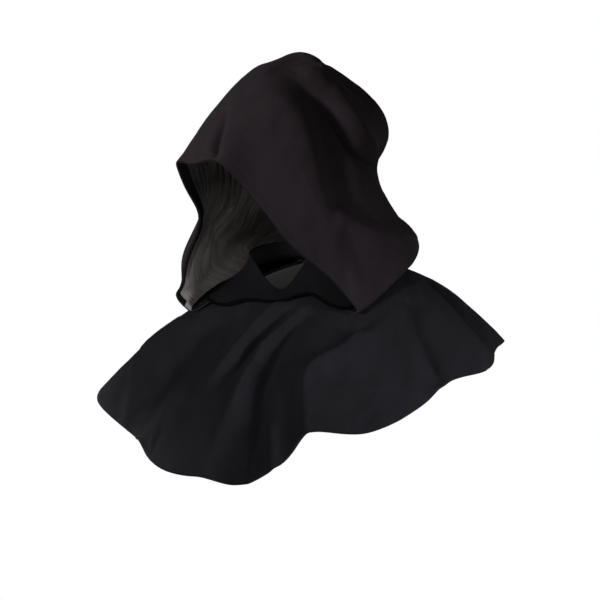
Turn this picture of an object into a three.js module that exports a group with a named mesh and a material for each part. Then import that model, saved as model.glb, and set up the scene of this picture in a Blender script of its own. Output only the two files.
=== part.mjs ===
// A hooded shoulder cape of black costume cloth, in millimetres, +Z up.
// The origin is where the crown of the head touches the inside of the hood.
// The wearer faces -Y with the left hand at +X, and the head is turned a little to its right.
import * as THREE from 'three';

// Cloth and hems
const clothThickness = 2;
const hemThickness = 1.8;
const hoodHemWidth = 14;
const capeHemWidth = 12;
const hemOverhang = 1.6; // how far a turned hem passes the edge of the cloth that it finishes
const pieceGap = 0.7;

// Hood: from the head seat to its farthest front, back, side and lowest fold
const hoodFront = 125;
const hoodBack = 186;
const hoodHalfWidth = 160;
const hoodDrop = 345;
const headTurn = 22; // degrees towards the right shoulder
const turnHeights = { none: -0.87, full: -0.45 }; // shares of hoodDrop between which the hood turns

// Neck ring, where hood, collar and cape meet
const neckBehindSeat = 45;
const neckHalfWidth = 80;
const neckHalfDepth = 64;
const throatDrop = 318;
const napeDrop = 288;
const hoodFloorLift = 5; // the hood's tucked underside above the cape
const hoodNeckAngle = 36; // degrees from the throat to the front end of the hood's lower edge
const napeAngle = 42; // degrees on either side of the nape where the hood's sides begin

// Collar
const collarRise = 38;
const collarFlap = 60;
const collarLift = 5; // the collar above the hood's underside, or at the throat above the cape
const collarFlare = 1.8; // above 1 the flap curves up into the standing part
const collarStand = 1.6;

// Cape: reach from the neck's axis and drop below the head seat, both at the hem
const capeReach = 308;
const capeDrop = 534;
const capeWave = 15; // height of the tallest fold at the hem
const foldStart = 0.12; // share of the way from the neck to the hem where the folds begin

// Mesh steps
const hoodSteps = { along: 32, around: 42 };
const collarSteps = { around: 56, up: 5 };
const capeSteps = { around: 72, out: 10 };
const hemSteps = { hood: 2, cape: 1 };

// The hood's guide lines run from the rim (at 0) to the nape (at 1), each at its share of the way
// around from the top seam (around 0) to the neck edge (around 1). Forward is a share of hoodFront
// or, behind the head seat, of hoodBack. Out is a share of hoodHalfWidth and height of hoodDrop.
const hoodLines = [
  { around: 0, rows: [
    { at: 0, forward: 0.99, out: 0, height: -0.34 },
    { at: 0.08, forward: 0.78, out: 0, height: -0.24 },
    { at: 0.18, forward: 0.44, out: 0, height: -0.12 },
    { at: 0.3, forward: 0, out: 0, height: 0 },
    { at: 0.36, forward: -0.19, out: 0, height: 0.018 },
    { at: 0.42, forward: -0.385, out: 0, height: 0.036 },
    { at: 0.46, forward: -0.49, out: 0, height: -0.002 },
    { at: 0.52, forward: -0.67, out: 0, height: -0.1 },
    { at: 0.56, forward: -0.82, out: 0, height: -0.158 },
    { at: 0.6, forward: -0.92, out: 0, height: -0.23 },
    { at: 0.66, forward: -1, out: 0, height: -0.345 },
    { at: 0.74, forward: -0.72, out: 0, height: -0.51 },
    { at: 0.84, forward: -0.83, out: 0, height: -0.72 },
    { at: 0.93, forward: -0.814, out: 0, height: -0.86 },
  ] },
  { around: 0.16, rows: [
    { at: 0, forward: 0.97, out: 0.35, height: -0.335 },
    { at: 0.08, forward: 0.78, out: 0.3, height: -0.267 },
    { at: 0.18, forward: 0.44, out: 0.375, height: -0.18 },
    { at: 0.3, forward: 0, out: 0.425, height: -0.1 },
    { at: 0.42, forward: -0.379, out: 0.45, height: -0.075 },
    { at: 0.52, forward: -0.69, out: 0.42, height: -0.155 },
    { at: 0.6, forward: -0.86, out: 0.37, height: -0.27 },
    { at: 0.66, forward: -0.91, out: 0.33, height: -0.37 },
    { at: 0.74, forward: -0.69, out: 0.3, height: -0.515 },
    { at: 0.84, forward: -0.83, out: 0.225, height: -0.725 },
    { at: 0.93, forward: -0.814, out: 0.1, height: -0.86 },
  ] },
  { around: 0.42, rows: [
    { at: 0, forward: 0.74, out: 0.59, height: -0.53 },
    { at: 0.18, forward: 0.34, out: 0.74, height: -0.48 },
    { at: 0.36, forward: -0.065, out: 0.775, height: -0.435 },
    { at: 0.52, forward: -0.379, out: 0.74, height: -0.44 },
    { at: 0.64, forward: -0.638, out: 0.59, height: -0.48 },
    { at: 0.74, forward: -0.62, out: 0.52, height: -0.57 },
    { at: 0.84, forward: -0.74, out: 0.4, height: -0.73 },
    { at: 0.93, forward: -0.805, out: 0.2, height: -0.86 },
  ] },
  { around: 0.64, rows: [
    { at: 0, forward: 0.78, out: 0.74, height: -0.75 },
    { at: 0.18, forward: 0.36, out: 0.875, height: -0.76 },
    { at: 0.36, forward: 0, out: 0.955, height: -0.76 },
    { at: 0.54, forward: -0.241, out: 1, height: -0.75 },
    { at: 0.7, forward: -0.535, out: 0.99, height: -0.75 },
    { at: 0.84, forward: -0.73, out: 0.67, height: -0.76 },
    { at: 0.93, forward: -0.795, out: 0.33, height: -0.85 },
  ] },
  { around: 0.84, rows: [
    { at: 0, forward: 0.32, out: 0.86, height: -1 },
    { at: 0.18, forward: 0.12, out: 0.94, height: -0.97 },
    { at: 0.36, forward: -0.139, out: 1, height: -0.92 },
    { at: 0.54, forward: -0.352, out: 1, height: -0.885 },
    { at: 0.7, forward: -0.564, out: 0.92, height: -0.865 },
    { at: 0.84, forward: -0.722, out: 0.68, height: -0.865 },
    { at: 0.93, forward: -0.758, out: 0.42, height: -0.865 },
  ] },
];

// Dents and swellings of the hood: where each one lies (around is negative on the right side), how
// far it spreads, and how far it moves the cloth, in the same shares as the guide lines.
const hoodDents = [
  { at: 0, around: -0.52, along: 0.16, across: 0.15, forward: -0.14, out: -0.11, height: 0 },
  { at: 0, around: -0.24, along: 0.08, across: 0.1, forward: 0, out: -0.045, height: 0 },
  { at: 0.72, around: 0.48, along: 0.06, across: 0.06, forward: 0.1, out: -0.05, height: 0 },
  { at: 0.12, around: -0.6, along: 0.07, across: 0.12, forward: 0.03, out: 0.09, height: 0 },
  { at: 0, around: -0.8, along: 0.35, across: 0.07, forward: 0.05, out: 0.12, height: 0.06 },
  { at: 0.09, around: 0.11, along: 0.08, across: 0.05, forward: 0, out: 0, height: -0.02 },
  { at: 0.66, around: 0.32, along: 0.05, across: 0.1, forward: 0.08, out: -0.05, height: 0 },
];

// The cape's hem from the nape over the right shoulder, the throat and the left shoulder to the
// nape. Reach is a share of capeReach, drop of capeDrop, and the shoulder is rounder above 1.
const capeHem = [
  { angle: -180, reach: 0.65, drop: 0.95, shoulder: 1.6 },
  { angle: -150, reach: 0.72, drop: 0.93, shoulder: 1.6 },
  { angle: -125, reach: 0.85, drop: 0.86, shoulder: 1.7 },
  { angle: -100, reach: 0.96, drop: 0.8, shoulder: 1.8 },
  { angle: -80, reach: 1.03, drop: 0.79, shoulder: 1.8 },
  { angle: -57, reach: 1.03, drop: 0.83, shoulder: 1.55 },
  { angle: -45, reach: 0.955, drop: 0.885, shoulder: 1.2 },
  { angle: -34, reach: 0.925, drop: 0.915, shoulder: 1.1 },
  { angle: -29, reach: 0.91, drop: 0.948, shoulder: 1.1 },
  { angle: -15, reach: 0.88, drop: 0.98, shoulder: 1.1 },
  { angle: 5, reach: 0.87, drop: 1.004, shoulder: 1.1 },
  { angle: 20, reach: 0.88, drop: 0.965, shoulder: 1.1 },
  { angle: 30, reach: 0.9, drop: 0.9, shoulder: 1.05 },
  { angle: 45, reach: 0.945, drop: 0.899, shoulder: 1.05 },
  { angle: 60, reach: 0.99, drop: 0.856, shoulder: 1.1 },
  { angle: 68, reach: 1, drop: 0.818, shoulder: 1.3 },
  { angle: 80, reach: 0.99, drop: 0.81, shoulder: 1.6 },
  { angle: 96, reach: 0.92, drop: 0.786, shoulder: 2.2 },
  { angle: 125, reach: 0.82, drop: 0.82, shoulder: 2.2 },
  { angle: 150, reach: 0.72, drop: 0.92, shoulder: 1.6 },
  { angle: 180, reach: 0.65, drop: 0.95, shoulder: 1.6 },
];

// The cape's folds run out from the neck and grow towards the hem. Angles are in degrees,
// height is a share of capeWave and below 0 it is a valley.
const capeFolds = [
  { angle: -170, width: 13, height: -0.6 },
  { angle: -148, width: 12, height: 0.7 },
  { angle: -126, width: 12, height: -0.7 },
  { angle: -104, width: 12, height: 0.8 },
  { angle: -82, width: 11, height: -0.6 },
  { angle: -60, width: 11, height: 0.6 },
  { angle: -36, width: 9, height: -0.35 },
  { angle: -18, width: 10, height: 0.55 },
  { angle: -3, width: 7, height: -0.4 },
  { angle: 14, width: 10, height: 0.9 },
  { angle: 30, width: 8, height: -0.9 },
  { angle: 47, width: 11, height: 0.6 },
  { angle: 66, width: 8, height: -0.55 },
  { angle: 78, width: 8, height: 0.8 },
  { angle: 90, width: 7, height: -0.15 },
  { angle: 106, width: 11, height: 0.35 },
  { angle: 128, width: 12, height: -0.7 },
  { angle: 150, width: 12, height: 0.7 },
];

// How the collar stands up (share of collarRise) and lies out (share of collarFlap) around the
// neck, and how high it sits (share of collarLift) to clear the hood's tucked underside.
const collarRows = [
  { angle: -180, rise: 0.75, flap: 0.15, lift: 1.4 },
  { angle: -130, rise: 0.8, flap: 0.3, lift: 1.6 },
  { angle: -95, rise: 0.95, flap: 0.7, lift: 1.9 },
  { angle: -70, rise: 0.95, flap: 1.05, lift: 2.3 },
  { angle: -58, rise: 0.95, flap: 1.15, lift: 2.4 },
  { angle: -50, rise: 0.9, flap: 0.98, lift: 2.3 },
  { angle: -40, rise: 0.8, flap: 0.52, lift: 2 },
  { angle: -28, rise: 0.5, flap: 0.33, lift: 1.5 },
  { angle: -13, rise: 0.2, flap: 0.27, lift: 0.95 },
  { angle: 0, rise: 0.05, flap: 0.25, lift: 0.8 },
  { angle: 14, rise: 0.2, flap: 0.25, lift: 0.95 },
  { angle: 28, rise: 0.5, flap: 0.27, lift: 1.5 },
  { angle: 40, rise: 0.8, flap: 0.4, lift: 1.9 },
  { angle: 50, rise: 0.9, flap: 0.88, lift: 2.2 },
  { angle: 58, rise: 0.95, flap: 1.15, lift: 2.3 },
  { angle: 70, rise: 0.95, flap: 1.05, lift: 2.2 },
  { angle: 95, rise: 0.95, flap: 0.7, lift: 1.9 },
  { angle: 130, rise: 0.8, flap: 0.3, lift: 1.6 },
  { angle: 180, rise: 0.75, flap: 0.15, lift: 1.4 },
];

const radians = THREE.MathUtils.degToRad;
const blend = THREE.MathUtils.lerp;
const smooth = THREE.MathUtils.smoothstep;

// A smooth value between the rows of a table, by one of its columns.
function between(rows, key, column, place) {
  const last = rows.length - 1;
  const slope = (i) => {
    const a = rows[Math.max(i - 1, 0)];
    const b = rows[Math.min(i + 1, last)];
    return (b[column] - a[column]) / (b[key] - a[key]);
  };
  let i = 0;
  while (i < last - 1 && place > rows[i + 1][key]) i += 1;
  const [a, b] = [rows[i], rows[i + 1]];
  const step = b[key] - a[key];
  const t = (place - a[key]) / step;
  const [t2, t3] = [t * t, t * t * t];
  return (2 * t3 - 3 * t2 + 1) * a[column] + (t3 - 2 * t2 + t) * step * slope(i)
    + (3 * t2 - 2 * t3) * b[column] + (t3 - t2) * step * slope(i + 1);
}

function neckRadius(angle) {
  const a = radians(angle);
  return neckHalfWidth * neckHalfDepth
    / Math.hypot(neckHalfDepth * Math.sin(a), neckHalfWidth * Math.cos(a));
}

// A place at a reach from the neck's axis, at an angle from the throat and a height.
function aroundNeck(angle, reach, height) {
  const a = radians(angle);
  return new THREE.Vector3(reach * Math.sin(a), neckBehindSeat - reach * Math.cos(a), height);
}

function neckHeight(angle) {
  return -blend(throatDrop, napeDrop, (1 - Math.cos(radians(angle))) / 2);
}

function capeFoldHeight(angle) {
  return capeFolds.reduce((sum, fold) => {
    const away = Math.abs(((angle - fold.angle + 540) % 360) - 180);
    return sum + fold.height * capeWave * Math.exp(-((away / fold.width) ** 2));
  }, 0);
}

const capeHemReach = (angle) => between(capeHem, 'angle', 'reach', angle) * capeReach;

function capeHeight(angle, s) {
  const hemHeight = -between(capeHem, 'angle', 'drop', angle) * capeDrop;
  return blend(neckHeight(angle), hemHeight, s ** between(capeHem, 'angle', 'shoulder', angle));
}

// A place on the cape's cloth: its angle from the throat, and s from the neck (0) to the hem (1).
function capePoint(angle, s) {
  const fold = capeFoldHeight(angle) * smooth(s, foldStart, 1);
  const reach = blend(neckRadius(angle), capeHemReach(angle), s) + fold;
  return aroundNeck(angle, reach, capeHeight(angle, s));
}

// The cape's height under a place given by its angle and its reach from the neck's axis.
function capeHeightAt(angle, reach) {
  const neck = neckRadius(angle);
  return capeHeight(angle, Math.max(0, (reach - neck) / (capeHemReach(angle) - neck)));
}

// The hood's lower edge, sewn round the neck just above the cape's upper edge.
function hoodNeckEdge(angle) {
  return aroundNeck(angle, neckRadius(angle), neckHeight(angle) + clothThickness + pieceGap);
}

// Turns the upper hood with the head, and leaves its lower edge square to the shoulders.
function turned(point) {
  const share = smooth(point.z, turnHeights.none * hoodDrop, turnHeights.full * hoodDrop);
  return point.applyAxisAngle(new THREE.Vector3(0, 0, 1), -radians(headTurn) * share);
}

function hoodGuide(line) {
  const rows = line.rows.map((row) => ({
    at: row.at,
    x: row.out * hoodHalfWidth,
    y: -row.forward * (row.forward > 0 ? hoodFront : hoodBack),
    z: row.height * hoodDrop,
  }));
  rows.push({ at: 1, ...hoodNeckEdge(180 - napeAngle * line.around) });
  return { around: line.around, rows };
}
const hoodGuides = hoodLines.map(hoodGuide);

function guidePlace(guide, u) {
  return new THREE.Vector3(...['x', 'y', 'z'].map((axis) => between(guide.rows, 'at', axis, u)));
}

// Half an arch of the hood, from the top seam out to the neck edge. Its tucked underside lies on
// the cape, a third and two thirds of the way from the lowest fold to the neck.
// Side is 1 on the left and -1 on the right.
function halfArch(u, side) {
  const places = hoodGuides.map((guide) => ({ around: guide.around, ...guidePlace(guide, u) }));
  const lowest = places[places.length - 1];
  const neck = hoodNeckEdge(blend(hoodNeckAngle, 180 - napeAngle, u));
  [1 / 3, 2 / 3].forEach((share) => {
    const [x, y] = [blend(lowest.x, neck.x, share), blend(lowest.y, neck.y, share)];
    const reach = Math.hypot(x, y - neckBehindSeat);
    const angle = THREE.MathUtils.radToDeg(Math.atan2(x, neckBehindSeat - y));
    const height = capeHeightAt(side * angle, reach) + hoodFloorLift;
    places.push({ around: blend(lowest.around, 1, share), ...aroundNeck(angle, reach, height) });
  });
  places.push({ around: 1, ...neck });
  return places.map((place) => ({ ...place, around: side * place.around, x: side * place.x }));
}

// A place on the hood's cloth: u from the rim to the nape, v from the right neck edge (-1) over
// the top (0) to the left one (1).
function hoodPoint(u, v) {
  const arch = [...halfArch(u, -1).reverse(), ...halfArch(u, 1).slice(1)];
  const point = new THREE.Vector3(...['x', 'y', 'z'].map((axis) => between(arch, 'around', axis, v)));
  hoodDents.forEach((dent) => {
    const share = Math.exp(-(((u - dent.at) / dent.along) ** 2) - ((v - dent.around) / dent.across) ** 2);
    point.x += share * dent.out * hoodHalfWidth * Math.sign(dent.around);
    point.y -= share * dent.forward * hoodFront;
    point.z += share * dent.height * hoodDrop;
  });
  return turned(point);
}

// A place on the collar: its angle from the throat, and t from the flap's edge (0) to the top (1).
function collarPoint(angle, t) {
  const [rise, flap, lift] = ['rise', 'flap', 'lift'].map((column) => (
    between(collarRows, 'angle', column, angle)));
  const reach = neckRadius(angle) + flap * collarFlap * (1 - t) ** collarFlare;
  const standing = rise * collarRise * t ** collarStand;
  const height = capeHeightAt(angle, reach) + lift * collarLift + standing;
  return aroundNeck(angle, reach, height);
}

// Points of a cloth's middle in a grid, with a normal at each, measured over a small step.
function gridOf(pointAt, rows, columns) {
  const step = 1e-3;
  return rows.map((u) => columns.map((v) => {
    const point = pointAt(u, v);
    const [u0, u1] = [Math.max(rows[0], u - step), Math.min(rows[rows.length - 1], u + step)];
    const [v0, v1] = [Math.max(columns[0], v - step), Math.min(columns[columns.length - 1], v + step)];
    const alongU = pointAt(u1, v).sub(pointAt(u0, v));
    const alongV = pointAt(u, v1).sub(pointAt(u, v0));
    return { point, normal: alongV.cross(alongU).normalize() };
  }));
}

// A closed wall of cloth around a grid. A looped grid joins its last column to its first.
function clothWall(grid, thickness, looped) {
  const wide = grid[0].length;
  const side = (sign) => grid.flatMap((row) => row.map(({ point, normal }) => (
    point.clone().addScaledVector(normal, sign * thickness / 2))));
  const points = [...side(1), ...side(-1)];
  const under = grid.length * wide;
  const faces = [];
  const quad = (a, b, c, d) => faces.push(a, b, c, a, c, d);
  const columns = looped ? wide : wide - 1;
  const index = (i, j) => i * wide + (j % wide);
  for (let i = 0; i < grid.length - 1; i += 1) {
    for (let j = 0; j < columns; j += 1) {
      const [a, b, c, d] = [index(i, j), index(i, j + 1), index(i + 1, j + 1), index(i + 1, j)];
      quad(a, b, c, d);
      quad(under + d, under + c, under + b, under + a);
    }
  }
  for (let j = 0; j < columns; j += 1) {
    const [a, b] = [index(0, j), index(0, j + 1)];
    quad(b, a, under + a, under + b);
    const [c, d] = [index(grid.length - 1, j), index(grid.length - 1, j + 1)];
    quad(c, d, under + d, under + c);
  }
  if (!looped) {
    for (let i = 0; i < grid.length - 1; i += 1) {
      const [a, b] = [index(i, 0), index(i + 1, 0)];
      quad(a, b, under + b, under + a);
      const [c, d] = [index(i, wide - 1), index(i + 1, wide - 1)];
      quad(d, c, under + c, under + d);
    }
  }
  const geometry = new THREE.BufferGeometry();
  geometry.setAttribute('position', new THREE.Float32BufferAttribute(points.flatMap((p) => p.toArray()), 3));
  geometry.setIndex(faces);
  geometry.computeVertexNormals();
  return geometry;
}

const evenly = (from, to, count) => Array.from({ length: count + 1 }, (_, i) => blend(from, to, i / count));

const outerCloth = new THREE.MeshStandardMaterial({ color: 0x1c1a1d, roughness: 0.92, metalness: 0 });
const hemCloth = new THREE.MeshStandardMaterial({ color: 0x232125, roughness: 0.9, metalness: 0 });

function clothMesh(name, grid, thickness, looped, material) {
  const mesh = new THREE.Mesh(clothWall(grid, thickness, looped), material);
  mesh.name = name;
  return mesh;
}

// Steps in u or v over which a length of cloth is measured.
const edgeShare = 0.01;

// Half a hood: the left panel has side 1, the right one -1. The two meet at the top seam, where
// each stops half a gap short of it.
function hoodPanel(name, side) {
  const seamStep = (u) => (
    hoodPoint(u, edgeShare).distanceTo(hoodPoint(u, -edgeShare)) / (2 * edgeShare));
  const pointAt = (u, v) => (
    hoodPoint(u, side * blend(pieceGap / 2 / seamStep(u), 1, Math.abs(v))));
  const columns = evenly(Math.min(side, 0), Math.max(side, 0), hoodSteps.around / 2);
  const rows = evenly(0, 1, hoodSteps.along);
  return clothMesh(name, gridOf(pointAt, rows, columns), clothThickness, false, outerCloth);
}

const fullTurn = (steps) => evenly(-180, 180, steps).slice(0, -1);

const collar = () => clothMesh(
  'collar',
  gridOf((t, angle) => collarPoint(angle, t), evenly(0, 1, collarSteps.up), fullTurn(collarSteps.around)),
  clothThickness, true, outerCloth,
);

const cape = () => clothMesh(
  'cape',
  gridOf((s, angle) => capePoint(angle, s), evenly(0, 1, capeSteps.out), fullTurn(capeSteps.around)),
  clothThickness, true, outerCloth,
);

// A turned hem lies inside the cloth's edge: distance runs from its fold, just past that edge,
// inwards over the hem's width.
function hemGrid(pointAt, edgeStep, width, steps, columns) {
  const rows = evenly(-hemOverhang, width, steps);
  const inset = clothThickness / 2 + pieceGap + hemThickness / 2;
  const placed = (distance, v) => pointAt(distance / edgeStep(v), v);
  return gridOf(placed, rows, columns).map((row) => row.map(({ point, normal }) => (
    { point: point.clone().addScaledVector(normal, -inset), normal })));
}

// Millimetres of cloth for a whole unit of u at the rim, or of s at the cape's edge.
const hoodRimStep = (v) => hoodPoint(edgeShare, v).distanceTo(hoodPoint(0, v)) / edgeShare;
const capeEdgeStep = (angle) => (
  capePoint(angle, 1 - edgeShare).distanceTo(capePoint(angle, 1)) / edgeShare);

// The hood's hem ends where the rim turns under, at the lowest fold.
const lowestFold = hoodLines[hoodLines.length - 1].around;

const hoodHem = () => clothMesh(
  'hood_hem',
  hemGrid(
    hoodPoint, hoodRimStep, hoodHemWidth, hemSteps.hood,
    evenly(-1, 1, hoodSteps.around).filter((v) => Math.abs(v) < lowestFold),
  ),
  hemThickness, false, hemCloth,
);

const capeHemBand = () => clothMesh(
  'cape_hem',
  hemGrid(
    (inward, angle) => capePoint(angle, 1 - inward), capeEdgeStep, capeHemWidth, hemSteps.cape,
    fullTurn(capeSteps.around),
  ),
  hemThickness, true, hemCloth,
);

const reaperHood = new THREE.Group();
reaperHood.name = 'reaper_hood';
reaperHood.add(
  hoodPanel('hood_left', 1), hoodPanel('hood_right', -1), hoodHem(), collar(), cape(), capeHemBand(),
);

export default reaperHood;
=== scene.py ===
import itertools
import math

import bpy
import numpy as np
from mathutils import Matrix, Vector


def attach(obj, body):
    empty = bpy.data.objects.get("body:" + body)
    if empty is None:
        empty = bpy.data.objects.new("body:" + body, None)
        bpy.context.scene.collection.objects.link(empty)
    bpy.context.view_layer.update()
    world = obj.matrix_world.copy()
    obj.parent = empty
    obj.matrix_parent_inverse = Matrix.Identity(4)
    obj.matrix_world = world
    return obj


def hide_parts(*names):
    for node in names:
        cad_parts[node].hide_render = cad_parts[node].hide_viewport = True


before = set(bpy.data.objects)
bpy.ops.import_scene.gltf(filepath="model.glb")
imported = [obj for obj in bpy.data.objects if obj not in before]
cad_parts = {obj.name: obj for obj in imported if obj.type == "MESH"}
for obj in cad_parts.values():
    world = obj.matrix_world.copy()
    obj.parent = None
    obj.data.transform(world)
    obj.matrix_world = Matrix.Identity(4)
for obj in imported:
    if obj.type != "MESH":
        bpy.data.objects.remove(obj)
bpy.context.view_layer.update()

# Cloth and hems. An edge bulges by a share of the thickness.
CLOTH_THICKNESS = 0.002
EDGE_BULGE = 0.42
HEM_THICKNESS = 0.0018
HEM_WALL = HEM_THICKNESS * 0.8
HOOD_HEM_WIDTH = 0.014
CAPE_HEM_WIDTH = 0.012
HEM_OVERHANG = 0.0016
PIECE_GAP = 0.0007

# The flat rows of a hem, how near the cloth's edge they end, and the curl round that edge in degrees
HEM_FLAT_ROWS = 7
HEM_LAST_ROW = 0.0006
HEM_CURL = (-60, -30, 0, 30, 60)
HEM_CURL_GAP = 0.0003

# Hood
HOOD_FRONT = 0.125
HOOD_BACK = 0.186
HOOD_HALF_WIDTH = 0.160
HOOD_DROP = 0.345
HEAD_TURN = math.radians(22)
TURN_HEIGHTS = (-0.87, -0.45)

# Neck ring
NECK_BEHIND_SEAT = 0.045
NECK_HALF_WIDTH = 0.080
NECK_HALF_DEPTH = 0.064
THROAT_DROP = 0.318
NAPE_DROP = 0.288
HOOD_FLOOR_LIFT = 0.005
HOOD_NECK_ANGLE = 36
NAPE_ANGLE = 42

# Collar and cape
COLLAR_RISE = 0.038
COLLAR_FLAP = 0.060
COLLAR_LIFT = 0.005
COLLAR_FLARE = 1.8
COLLAR_STAND = 1.6
COLLAR_EDGE_RADIUS = 0.0024
CAPE_REACH = 0.308
CAPE_DROP = 0.534
CAPE_WAVE = 0.015
FOLD_START = 0.12

# Swells of the cloth: height, size and how far they are drawn out downwards
SWELLS = ((0.0011, 0.05, 0.45), (0.00045, 0.018, 0.6), (0.00012, 0.007, 1))
HOOD_SEED, CAPE_SEED, COLLAR_SEED = 3, 11, 23
COLLAR_SWELL = 0.5

# The seam and the hems' stitch lines: height and width, and how far the stitches lie in the hem
SEAM_GROOVE = (-0.0011, 0.0016)
SEAM_SWELL = (0.0007, 0.007)
STITCH_GROOVE = (-0.0002, 0.0012)
HOOD_STITCH_INSET = 0.0025
CAPE_STITCH_INSET = 0.002

# Creases: the steps along a path, the fading at its ends, the roundness across it, and how far away
# in the cloth's own coordinates a crease still acts, so that it keeps to its own layer
CREASE_STEPS = 24
CREASE_FADE = 0.6
CREASE_ROUNDNESS = 1.6
PLEAT_ROUNDNESS = 1.15
HOOD_CREASE_REACH = (0.16, 0.16)
CAPE_CREASE_REACH = (0.4, 30)

# Where the relief is calm: near the rim and the nape, where a share of it is left, under the droops,
# and on the cape under the hood
CALM_RIM = 0.02
CALM_NAPE = 0.03
CALM_SHARE = 0.35
TUCKED_UNDER = (0.8, 0.88)
COVERED_FADE = 0.02

# The hood's guide lines, from the rim (at 0) to the nape (at 1), in shares of the hood's sizes:
# at, forward, out and height. Each line's key is its share of the way around from the top seam.
HOOD_LINES = {
    0.0: (
        (0, 0.99, 0, -0.34), (0.08, 0.78, 0, -0.24), (0.18, 0.44, 0, -0.12), (0.3, 0, 0, 0),
        (0.36, -0.19, 0, 0.018), (0.42, -0.385, 0, 0.036), (0.46, -0.49, 0, -0.002),
        (0.52, -0.67, 0, -0.1), (0.56, -0.82, 0, -0.158), (0.6, -0.92, 0, -0.23),
        (0.66, -1, 0, -0.345), (0.74, -0.72, 0, -0.51), (0.84, -0.83, 0, -0.72),
        (0.93, -0.814, 0, -0.86),
    ),
    0.16: (
        (0, 0.97, 0.35, -0.335), (0.08, 0.78, 0.3, -0.267), (0.18, 0.44, 0.375, -0.18),
        (0.3, 0, 0.425, -0.1), (0.42, -0.379, 0.45, -0.075), (0.52, -0.69, 0.42, -0.155),
        (0.6, -0.86, 0.37, -0.27), (0.66, -0.91, 0.33, -0.37), (0.74, -0.69, 0.3, -0.515),
        (0.84, -0.83, 0.225, -0.725), (0.93, -0.814, 0.1, -0.86),
    ),
    0.42: (
        (0, 0.74, 0.59, -0.53), (0.18, 0.34, 0.74, -0.48), (0.36, -0.065, 0.775, -0.435),
        (0.52, -0.379, 0.74, -0.44), (0.64, -0.638, 0.59, -0.48), (0.74, -0.62, 0.52, -0.57),
        (0.84, -0.74, 0.4, -0.73), (0.93, -0.805, 0.2, -0.86),
    ),
    0.64: (
        (0, 0.78, 0.74, -0.75), (0.18, 0.36, 0.875, -0.76), (0.36, 0, 0.955, -0.76),
        (0.54, -0.241, 1, -0.75), (0.7, -0.535, 0.99, -0.75), (0.84, -0.73, 0.67, -0.76),
        (0.93, -0.795, 0.33, -0.85),
    ),
    0.84: (
        (0, 0.32, 0.86, -1), (0.18, 0.12, 0.94, -0.97), (0.36, -0.139, 1, -0.92),
        (0.54, -0.352, 1, -0.885), (0.7, -0.564, 0.92, -0.865), (0.84, -0.722, 0.68, -0.865),
        (0.93, -0.758, 0.42, -0.865),
    ),
}

# Dents of the hood: at, around, along, across, forward, out and height.
HOOD_DENTS = (
    (0, -0.52, 0.16, 0.15, -0.14, -0.11, 0),
    (0, -0.24, 0.08, 0.1, 0, -0.045, 0),
    (0.72, 0.48, 0.06, 0.06, 0.1, -0.05, 0),
    (0.12, -0.6, 0.07, 0.12, 0.03, 0.09, 0),
    (0, -0.8, 0.35, 0.07, 0.05, 0.12, 0.06),
    (0.09, 0.11, 0.08, 0.05, 0, 0, -0.02),
    (0.66, 0.32, 0.05, 0.1, 0.08, -0.05, 0),
)

# The cape's hem, from the nape over the right shoulder and the throat to the left: angle in
# degrees, reach, drop and roundness of the shoulder.
CAPE_HEM = np.array((
    (-180, 0.65, 0.95, 1.6), (-150, 0.72, 0.93, 1.6), (-125, 0.85, 0.86, 1.7),
    (-100, 0.96, 0.8, 1.8), (-80, 1.03, 0.79, 1.8), (-57, 1.03, 0.83, 1.55),
    (-45, 0.955, 0.885, 1.2), (-34, 0.925, 0.915, 1.1), (-29, 0.91, 0.948, 1.1),
    (-15, 0.88, 0.98, 1.1), (5, 0.87, 1.004, 1.1), (20, 0.88, 0.965, 1.1), (30, 0.9, 0.9, 1.05),
    (45, 0.945, 0.899, 1.05), (60, 0.99, 0.856, 1.1), (68, 1, 0.818, 1.3),
    (80, 0.99, 0.81, 1.6), (96, 0.92, 0.786, 2.2), (125, 0.82, 0.82, 2.2),
    (150, 0.72, 0.92, 1.6), (180, 0.65, 0.95, 1.6),
))

# The cape's folds: angle and width in degrees, and height as a share of CAPE_WAVE.
CAPE_FOLDS = (
    (-170, 13, -0.6), (-148, 12, 0.7), (-126, 12, -0.7), (-104, 12, 0.8), (-82, 11, -0.6),
    (-60, 11, 0.6), (-36, 9, -0.35), (-18, 10, 0.55), (-3, 7, -0.4), (14, 10, 0.9), (30, 8, -0.9),
    (47, 11, 0.6), (66, 8, -0.55), (78, 8, 0.8), (90, 7, -0.15), (106, 11, 0.35), (128, 12, -0.7),
    (150, 12, 0.7),
)

# The collar around the neck: angle, rise, flap and lift.
COLLAR_ROWS = np.array((
    (-180, 0.75, 0.15, 1.4), (-130, 0.8, 0.3, 1.6), (-95, 0.95, 0.7, 1.9),
    (-70, 0.95, 1.05, 2.3), (-58, 0.95, 1.15, 2.4), (-50, 0.9, 0.98, 2.3), (-40, 0.8, 0.52, 2),
    (-28, 0.5, 0.33, 1.5), (-13, 0.2, 0.27, 0.95), (0, 0.05, 0.25, 0.8), (14, 0.2, 0.25, 0.95),
    (28, 0.5, 0.27, 1.5), (40, 0.8, 0.4, 1.9), (50, 0.9, 0.88, 2.2), (58, 0.95, 1.15, 2.3),
    (70, 0.95, 1.05, 2.2), (95, 0.95, 0.7, 1.9), (130, 0.8, 0.3, 1.6), (180, 0.75, 0.15, 1.4),
))

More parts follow.
